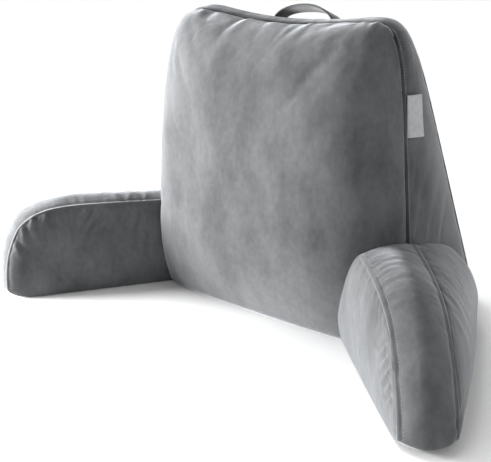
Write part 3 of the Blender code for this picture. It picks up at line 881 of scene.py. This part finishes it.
def make_arm(name, arm, back, material, seed):
    cage, quads = cage_surface(
        stations(0.0, 1.0, ARM_CELLS["along"], low_seam=False),
        np.concatenate([LOW_ROWS, stations(ARM_EVEN_START, 1.0, ARM_CELLS["up"], low_seam=False)]),
        stations(-1.0, 1.0, ARM_CELLS["across"]),
    )
    lines, line_of = np.unique(cage[:, 1:], axis=0, return_inverse=True)
    line_up = spread_one_end(lines[:, 0], arm["height_root"])
    root = arm_root(arm, line_up, lines[:, 1], back)[line_of.reshape(-1)]

    def form(points, roots):
        length = arm["length"]
        height = arm["height_root"]
        near = spread_one_end(points[:, 1], height)
        front = clamp(1.0 - from_edge(1.0 - points[:, 0], length * (1.0 - roots)) / length)
        side = (points[:, 2] + 1.0) / 2
        outward = arm["bulge_out_tip"] + arm["bulge_out_root"] * (1.0 - front)
        bulge = mix(mix(arm["bulge_in_root"], arm["bulge_in_tip"], front), outward, side)
        rise = bulge * side_crown(OUT_CROWN, near)
        from_tip = crowned_distance(
            1.0 - points[:, 0], length * (1.0 - roots), rise, length, ARM_FRONT_SPREAD, ARM_CROWN_POWER
        )
        rise = bulge * arm_crown_front(front)
        from_top = crowned_distance(
            1.0 - points[:, 1], height, rise, height, OUT_CROWN["spread"], ARM_CROWN_POWER
        )
        return arm_form(arm, 1.0 - from_tip / length, clamp(1.0 - from_top / height), points[:, 2])

    places = form(cage, root)
    quads = facing_out(places, quads)
    on_panel, distance, _, _ = arm_seams(form, cage, root, places)
    held = (distance < CLOTH_HELD) | (cage[:, 1] < CLOTH_HELD_LOW) | (cage[:, 0] < ON_LOW_END)
    # Panels by number: 0 is the strip, 1 the inner panel and 2 the outer one.
    panel = np.where(on_panel, 1 + (cage[:, 2] > 0.0), 0)
    places = gathered(name + "_cloth", places, quads, panel, distance, held, seed)
    extra = np.stack([root, root, root], 1)
    places, quads, normals, tags = refined(name + "_cloth", places, quads, {"cage": cage, "root": extra})
    cage = tags["cage"]
    root = tags["root"][:, 0]
    on_panel, distance, seam, _ = arm_seams(form, cage, root, places)
    height = welt(ARM_WELT, distance) + gathers(seed + ARM_GATHER_SEED, seam, distance)
    height += lumps(seed + ARM_LUMP_SEED, places, distance)
    axes, origin = arm_axes(arm)
    local = (places - origin) @ axes.T
    on_strip = ~on_panel & ((cage[:, 1] > ON_FACE) | (cage[:, 0] > ON_FACE))
    panels = (
        ("out", cage[:, 2] > ON_FACE, local[:, 0], local[:, 2]),
        ("in", cage[:, 2] < -ON_FACE, local[:, 0], local[:, 2]),
        ("top", on_strip, local[:, 0], local[:, 1]),
    )
    add_folds(height, ARM_FOLDS[name], panels, distance, ARM_FOLD_START)
    height *= clamp(places[:, 2] / RELIEF_FADE) * clamp(cage[:, 0] / ROOT_FADE)
    return *make_cover(name + "_cover", places + normals * height[:, None], quads, material), form


# Materials


def nodes_of(name):
    material = bpy.data.materials.new(name)
    material.use_nodes = True
    tree = material.node_tree
    return material, tree, tree.nodes["Principled BSDF"]


def noise_node(tree, vector, scale, detail, roughness):
    node = tree.nodes.new("ShaderNodeTexNoise")
    node.inputs["Scale"].default_value = scale
    node.inputs["Detail"].default_value = detail
    node.inputs["Roughness"].default_value = roughness
    tree.links.new(vector, node.inputs["Vector"])
    return node.outputs["Fac"]


def wave_node(tree, vector, scale, distortion, direction="X"):
    node = tree.nodes.new("ShaderNodeTexWave")
    node.bands_direction = direction
    node.inputs["Scale"].default_value = scale
    node.inputs["Distortion"].default_value = distortion
    tree.links.new(vector, node.inputs["Vector"])
    return node.outputs["Fac"]


def ramp_node(tree, value, low, high):
    """A colour from the value, between two stops, (value, colour)."""
    node = tree.nodes.new("ShaderNodeValToRGB")
    for element, (place, colour) in zip(node.color_ramp.elements, (low, high)):
        element.position = place
        element.color = (*colour, 1.0)
    tree.links.new(value, node.inputs["Fac"])
    return node.outputs["Color"]


def math_node(tree, operation, first, second):
    node = tree.nodes.new("ShaderNodeMath")
    node.operation = operation
    for socket, value in zip(node.inputs, (first, second)):
        if isinstance(value, float):
            socket.default_value = value
        else:
            tree.links.new(value, socket)
    return node.outputs[0]


def blend_node(tree, first, second, share):
    """The two values added, the second by its share and the first by the rest."""
    first = math_node(tree, "MULTIPLY", first, 1.0 - share)
    return math_node(tree, "ADD", first, math_node(tree, "MULTIPLY", second, share))


def bump_node(tree, height, distance, strength, normal=None):
    node = tree.nodes.new("ShaderNodeBump")
    node.inputs["Distance"].default_value = distance
    node.inputs["Strength"].default_value = strength
    tree.links.new(height, node.inputs["Height"])
    if normal:
        tree.links.new(normal, node.inputs["Normal"])
    return node.outputs["Normal"]


def object_vector(tree, stretch=(1.0, 1.0, 1.0)):
    place = tree.nodes.new("ShaderNodeTexCoord")
    mapping = tree.nodes.new("ShaderNodeMapping")
    mapping.inputs["Scale"].default_value = stretch
    tree.links.new(place.outputs["Object"], mapping.inputs["Vector"])
    return mapping.outputs["Vector"]


def velvet_material():
    """Short-pile velvet: dark, light where the pile is seen from the side, mottled where it lies over."""
    material, tree, shader = nodes_of("velvet")
    drawn = object_vector(tree, (1.0, 1.0, 0.45))
    brushed = noise_node(tree, drawn, scale=22.0, detail=3.0, roughness=0.55)
    patches = noise_node(tree, object_vector(tree), scale=8.0, detail=2.0, roughness=0.5)
    crumpled = object_vector(tree, (1.0, 1.0, 0.7))
    crushed = noise_node(tree, crumpled, scale=130.0, detail=3.0, roughness=0.6)
    lay = blend_node(tree, blend_node(tree, brushed, patches, share=0.5), crushed, share=0.2)
    colour = ramp_node(tree, lay, (0.34, (0.048, 0.0493, 0.0505)), (0.66, (0.1248, 0.128, 0.1313)))
    tree.links.new(colour, shader.inputs["Base Color"])
    pile = noise_node(tree, object_vector(tree), scale=1400.0, detail=2.0, roughness=0.6)
    soft = bump_node(tree, crushed, distance=0.0012, strength=0.35)
    pile_normal = bump_node(tree, pile, distance=0.0004, strength=0.45, normal=soft)
    tree.links.new(pile_normal, shader.inputs["Normal"])
    shader.inputs["Roughness"].default_value = 0.9
    shader.inputs["Specular IOR Level"].default_value = 0.15
    shader.inputs["Sheen Weight"].default_value = 0.75
    shader.inputs["Sheen Roughness"].default_value = 0.37
    shader.inputs["Sheen Tint"].default_value = (0.93, 0.96, 1.0, 1.0)
    return material


def webbing_material():
    material, tree, shader = nodes_of("webbing")
    weave = wave_node(tree, object_vector(tree, (0.3, 1.0, 1.0)), scale=260.0, distortion=1.2)
    mottle = noise_node(tree, object_vector(tree), scale=90.0, detail=3.0, roughness=0.6)
    colour = ramp_node(tree, mottle, (0.3, (0.048, 0.051, 0.054)), (0.7, (0.090, 0.094, 0.098)))
    tree.links.new(colour, shader.inputs["Base Color"])
    tree.links.new(bump_node(tree, weave, distance=0.0003, strength=0.4), shader.inputs["Normal"])
    shader.inputs["Roughness"].default_value = 0.8
    shader.inputs["Specular IOR Level"].default_value = 0.2
    shader.inputs["Sheen Weight"].default_value = 0.6
    shader.inputs["Sheen Roughness"].default_value = 0.4
    return material


def label_material():
    """Satin-woven label cloth: fine warp ribs and a faint unevenness."""
    material, tree, shader = nodes_of("label_cloth")
    ribs = wave_node(tree, object_vector(tree), scale=520.0, distortion=0.6, direction="Z")
    uneven = noise_node(tree, object_vector(tree), scale=160.0, detail=3.0, roughness=0.6)
    colour = ramp_node(tree, uneven, (0.3, (0.33, 0.335, 0.34)), (0.7, (0.44, 0.445, 0.45)))
    tree.links.new(colour, shader.inputs["Base Color"])
    tree.links.new(bump_node(tree, ribs, distance=0.00025, strength=0.5), shader.inputs["Normal"])
    shader.inputs["Roughness"].default_value = 0.55
    shader.inputs["Sheen Weight"].default_value = 0.25
    return material


def thread_material():
    material, tree, shader = nodes_of("seam_thread")
    twist = noise_node(tree, object_vector(tree), scale=900.0, detail=1.0, roughness=0.5)
    # The thread is a lighter grey than the velvet. This is partly its own colour and partly a painted
    # highlight, so that each seam reads as the light line that sheen on its ridge gives.
    colour = ramp_node(tree, twist, (0.3, (0.17, 0.174, 0.178)), (0.7, (0.26, 0.265, 0.27)))
    tree.links.new(colour, shader.inputs["Base Color"])
    shader.inputs["Roughness"].default_value = 0.6
    return material


def floor_material():
    material, _, shader = nodes_of("floor")
    shader.inputs["Base Color"].default_value = (0.93, 0.93, 0.93, 1.0)
    shader.inputs["Roughness"].default_value = 0.9
    shader.inputs["Specular IOR Level"].default_value = 0.1
    return material


# Stitches


def tube_quads(rings, sides):
    """Quads between rings of places that each have this many sides."""
    quads = []
    for low in range(0, (rings - 1) * sides, sides):
        for side in range(sides):
            other = (side + 1) % sides
            quads.append((low + side, low + other, low + sides + other, low + sides + side))
    return quads


def stitch_mesh(starts, ends, outward):
    """Places and faces of small rounded threads, one from each start to each end."""
    along = ends - starts
    length = np.linalg.norm(along, axis=1, keepdims=True)
    along /= length
    beside = unit(np.cross(along, outward))
    lift = np.cross(beside, along)
    places = []
    for share in np.linspace(0.0, 1.0, STITCH_RINGS):
        radius = STITCH_RADIUS * mix(STITCH_END_SHARE, 1.0, math.sin(math.pi * share) ** 0.5)
        sink = STITCH_RADIUS * STITCH_END_SINK * (abs(2.0 * share - 1.0) ** 3)
        centre = starts + along * length * share - lift * sink
        for side in range(STITCH_SIDES):
            angle = 2.0 * math.pi * side / STITCH_SIDES
            places.append(centre + radius * (math.cos(angle) * beside + math.sin(angle) * lift))
    places = np.stack(places, 1)
    count, per = places.shape[:2]
    faces = np.array(tube_quads(STITCH_RINGS, STITCH_SIDES))[:, [0, 3, 2, 1]]
    last = (STITCH_RINGS - 1) * STITCH_SIDES
    caps = [tuple(range(STITCH_SIDES)), tuple(last + i for i in reversed(range(STITCH_SIDES)))]
    offsets = np.arange(count) * per
    quads = (faces[None] + offsets[:, None, None]).reshape(-1, 4).tolist()
    ends_faces = [[i + offset for i in cap] for cap in caps for offset in offsets.tolist()]
    return places.reshape(-1, 3), quads + ends_faces


def evenly_along(points, spacing):
    """Points at even distances along a line of points."""
    steps = np.linalg.norm(np.diff(points, axis=0), axis=1)
    run = np.concatenate([[0.0], np.cumsum(steps)])
    wanted = np.arange(0.0, run[-1], spacing)
    return np.stack([np.interp(wanted, run, points[:, axis]) for axis in range(3)], 1)


def stitches_on(tree, line):
    """Start, end and outward direction of each stitch on a line near a surface."""
    starts, ends, outward = [], [], []
    points = evenly_along(line, STITCH_LENGTH / STITCH_STEPS)
    stride = round(STITCH_SPACING / (STITCH_LENGTH / STITCH_STEPS))
    for i in range(0, len(points) - STITCH_STEPS, stride):
        first, first_normal, _, _ = tree.find_nearest(Vector(points[i]))
        last, last_normal, _, _ = tree.find_nearest(Vector(points[i + STITCH_STEPS]))
        normal = (first_normal + last_normal).normalized()
        starts.append(first + normal * STITCH_PROUD)
        ends.append(last + normal * STITCH_PROUD)
        outward.append(normal)
    return starts, ends, outward


def make_stitches(name, lines, material):
    """One object with the stitches of every (tree, line)."""
    starts, ends, outward = [], [], []
    for tree, line in lines:
        found = stitches_on(tree, line)
        for total, new in zip((starts, ends, outward), found):
            total.extend(new)
    places, faces = stitch_mesh(np.array(starts), np.array(ends), np.array(outward))
    return mesh_object(name, places, faces, material)


def back_stitch_lines():
    """Lines beside the back's seams, on the strip's side."""
    lines = []
    for face in (-1.0, 1.0):
        for side in (-1.0, 1.0):
            up = np.linspace(*STITCHED_SIDE)
            half_depth = mix(DEPTH_LOW, DEPTH_TOP, spread_one_end(up, BACK_HEIGHT)) / 2
            deep = face * (1.0 - to_edge(np.full(len(up), STITCH_AWAY), half_depth))
            lines.append(back_form(np.stack([np.full(len(up), side), up, deep], 1)))
        across = np.linspace(*STITCHED_TOP)
        deep = np.full(len(across), face * (1.0 - to_edge(np.array(STITCH_AWAY), DEPTH_TOP / 2)))
        lines.append(back_form(np.stack([across, np.ones(len(across)), deep], 1)))
    return lines


def arm_stitch_lines(arm, back, form):
    """Lines beside an arm's two seams, on the strip's side: along the top, then down the front."""
    lines = []
    for side in (-1.0, 1.0):
        half = np.array([arm["strip_root"], arm["strip_tip"]]) / 2
        top = np.linspace(*STITCHED_ARM_TOP)
        top_across = side * (1.0 - to_edge(np.full(len(top), STITCH_AWAY), mix(half[0], half[1], top)))
        root = arm_root(arm, np.ones(1), np.array([top_across[0]]), back)[0]
        over = np.stack([mix(STITCHED_ARM_ROOT, 1.0, top), np.ones(len(top)), top_across], 1)
        over = form(over, np.full(len(top), root))
        front = np.linspace(*STITCHED_ARM_FRONT)
        tip_across = np.full(len(front), side * (1.0 - to_edge(np.array(STITCH_AWAY), half[1])))
        down = form(np.stack([np.ones(len(front)), front, tip_across], 1), np.full(len(front), root))
        lines.append(np.concatenate([over, down]))
    return lines


# Strap and label


def rounded_edge(share):
    """Share of a band's thickness near its edge: none at the edge, full from share 1."""
    return np.sqrt(clamp(1.0 - (1.0 - clamp(share)) ** 2))


def closed_band(rows, thickness_of):
    """A sheet of points given thickness, with rounded long edges. rows is (steps, columns, 3)."""
    steps, columns = rows.shape[:2]
    along = np.gradient(rows, axis=0)
    across = np.gradient(rows, axis=1)
    normal = unit(np.cross(along, across))
    half = thickness_of(np.linspace(-1.0, 1.0, columns))[None, :, None] / 2
    upper = rows + normal * half
    lower = rows - normal * half
    ring = np.concatenate([upper, lower[:, ::-1]], axis=1)
    count = ring.shape[1]
    last = (steps - 1) * count
    caps = []
    for i in range(columns - 1):
        mirror = count - 1 - i
        caps.append((i, mirror, mirror - 1, i + 1))
        caps.append((last + i, last + i + 1, last + mirror - 1, last + mirror))
    places = ring.reshape(-1, 3)
    quads = np.array(tube_quads(steps, count) + caps)
    return places, facing_out(places, quads)


def make_strap(material):
    foot = back_form(np.array([[0.0, 1.0, 0.0]]))[0, 2] - STRAP_SUNK
    rise = STRAP_RISE + STRAP_SUNK
    angle = math.pi * (1.0 - np.linspace(0.0, 1.0, STRAP_STEPS + 1))
    x = STRAP_CENTRE_X + STRAP_SPAN / 2 * np.cos(angle) - MIDDLE_X
    z = foot + rise * clamp(np.sin(angle)) ** STRAP_ARCH_POWER
    lean = np.radians(STRAP_LEAN) * np.sin(angle)
    across = STRAP_WIDTH / 2 * np.linspace(-1.0, 1.0, STRAP_COLUMNS)
    rows = np.stack([
        np.repeat(x[:, None], STRAP_COLUMNS, 1),
        STRAP_CENTRE_Y - MIDDLE_Y + np.cos(lean)[:, None] * across[None],
        z[:, None] - np.sin(lean)[:, None] * across[None],
    ], 2)
    sag = soft_noise(STRAP_SEED, *(rows[:, :, axis] / STRAP_SAG_SPACING[axis] for axis in range(2)))
    rows[:, :, 2] += STRAP_SAG * sag * np.sin(angle)[:, None]

    def thickness(share):
        inset = STRAP_WIDTH / 2 * (1.0 - np.abs(share))
        groove = np.exp(-(((inset - STRAP_GROOVE_INSET) / STRAP_GROOVE_WIDTH) ** 2))
        return np.maximum(
            STRAP_CORE * rounded_edge(inset / STRAP_ROUNDING) - STRAP_GROOVE_DEPTH * groove, STRAP_LEAST
        )

    places, quads = closed_band(rows, thickness)
    return mesh_object("carry_strap_band", places, quads, material)


def make_label(material):
    """The folded label: it leaves the seam, lies back over the gusset and curls at its lower corner."""
    rows = np.zeros((LABEL_ROWS, LABEL_COLUMNS, 3))
    for i, share_up in enumerate(np.linspace(0.0, 1.0, LABEL_ROWS)):
        height = (LABEL_LOW + LABEL_HEIGHT * share_up) / corner_pull(1.0, CORNER_DROP_SHARE)
        up = 1.0 - to_edge(np.array(BACK_HEIGHT - height), BACK_HEIGHT)
        half_depth = mix(DEPTH_LOW, DEPTH_TOP, height / BACK_HEIGHT) / 2
        share = np.linspace(0.0, 1.0, LABEL_COLUMNS)
        deep = to_edge(mix(LABEL_START * share_up, LABEL_REACH, share), half_depth) - 1.0
        here = back_form(np.stack([np.ones(len(share)), np.full(len(share), up), deep], 1))
        corner = (1.0 - share_up) ** 3 * np.sin(math.pi * share * LABEL_CURL_TURN)
        curl = LABEL_CURL * share + LABEL_CORNER_CURL * corner
        here[:, 0] += mix(LABEL_STAND_LOW, LABEL_STAND_TOP, share_up) + curl
        rows[i] = here

    def thickness(share):
        inset = LABEL_REACH * (1.0 - np.abs(share)) / 2
        return LABEL_THICKNESS * rounded_edge(inset / LABEL_ROUNDING) + LABEL_LEAST

    places, quads = closed_band(rows, thickness)
    return mesh_object("side_label_cloth", places, quads, material)


# Studio


def make_camera():
    camera = bpy.data.cameras.new("camera")
    camera.sensor_fit = "HORIZONTAL"
    camera.sensor_width = CAMERA_SENSOR
    camera.lens = CAMERA_LENS
    obj = linked("camera", camera)
    obj.location = CAMERA_PLACE
    obj.rotation_euler = (math.radians(CAMERA_TILT), 0.0, math.radians(CAMERA_TURN))
    bpy.context.scene.camera = obj


def add_light(light, place, direction):
    obj = linked(light.name, light)
    obj.location = place
    obj.rotation_euler = direction.to_track_quat("-Z", "Y").to_euler()


def make_studio():
    half = FLOOR_SIZE / 2
    corners = np.array([[-half, -half, 0.0], [half, -half, 0.0], [half, half, 0.0], [-half, half, 0.0]])
    corners[:, 2] = -FLOOR_DROP
    floor = mesh_object("floor", corners, np.array([[0, 1, 2, 3]]), floor_material(), smooth=False)
    key = bpy.data.lights.new("key", "AREA")
    key.shape = "DISK"
    key.size = KEY_LIGHT["size"]
    key.energy = KEY_LIGHT["power"]
    add_light(key, KEY_LIGHT["place"], Vector(KEY_LIGHT["aim"]) - Vector(KEY_LIGHT["place"]))
    for row in SUNS:
        sun = bpy.data.lights.new(row["name"], "SUN")
        sun.angle = math.radians(row["spread"])
        sun.energy = row["strength"]
        azimuth = math.radians(row["azimuth"])
        height = math.radians(row["height"])
        level = math.cos(height)
        towards = Vector((level * math.cos(azimuth), level * math.sin(azimuth), math.sin(height)))
        add_light(sun, towards * SUN_AWAY, -towards)
    world = bpy.data.worlds.new("studio")
    world.use_nodes = True
    background = world.node_tree.nodes["Background"]
    background.inputs["Color"].default_value = (1.0, 1.0, 1.0, 1.0)
    background.inputs["Strength"].default_value = WORLD_STRENGTH
    bpy.context.scene.world = world
    bpy.context.scene.view_settings.view_transform = "Standard"


def main():
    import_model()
    make_camera()
    velvet = velvet_material()
    thread = thread_material()
    back, back_tree = make_back(velvet)
    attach(back, "root")
    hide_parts("back_cushion")
    stitch_lines = [(back_tree, line) for line in back_stitch_lines()]
    for seed, (name, arm) in enumerate(ARMS.items(), FIRST_ARM_SEED):
        cover, tree, form = make_arm(name, arm, back_tree, velvet, seed)
        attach(cover, "root")
        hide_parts(name)
        stitch_lines += [(tree, line) for line in arm_stitch_lines(arm, back_tree, form)]
    stitches = make_stitches("seam_stitches", stitch_lines, thread)
    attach(stitches, "root")
    strap = make_strap(webbing_material())
    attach(strap, "root")
    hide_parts("carry_strap")
    label = make_label(label_material())
    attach(label, "root")
    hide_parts("side_label")
    make_studio()


main()
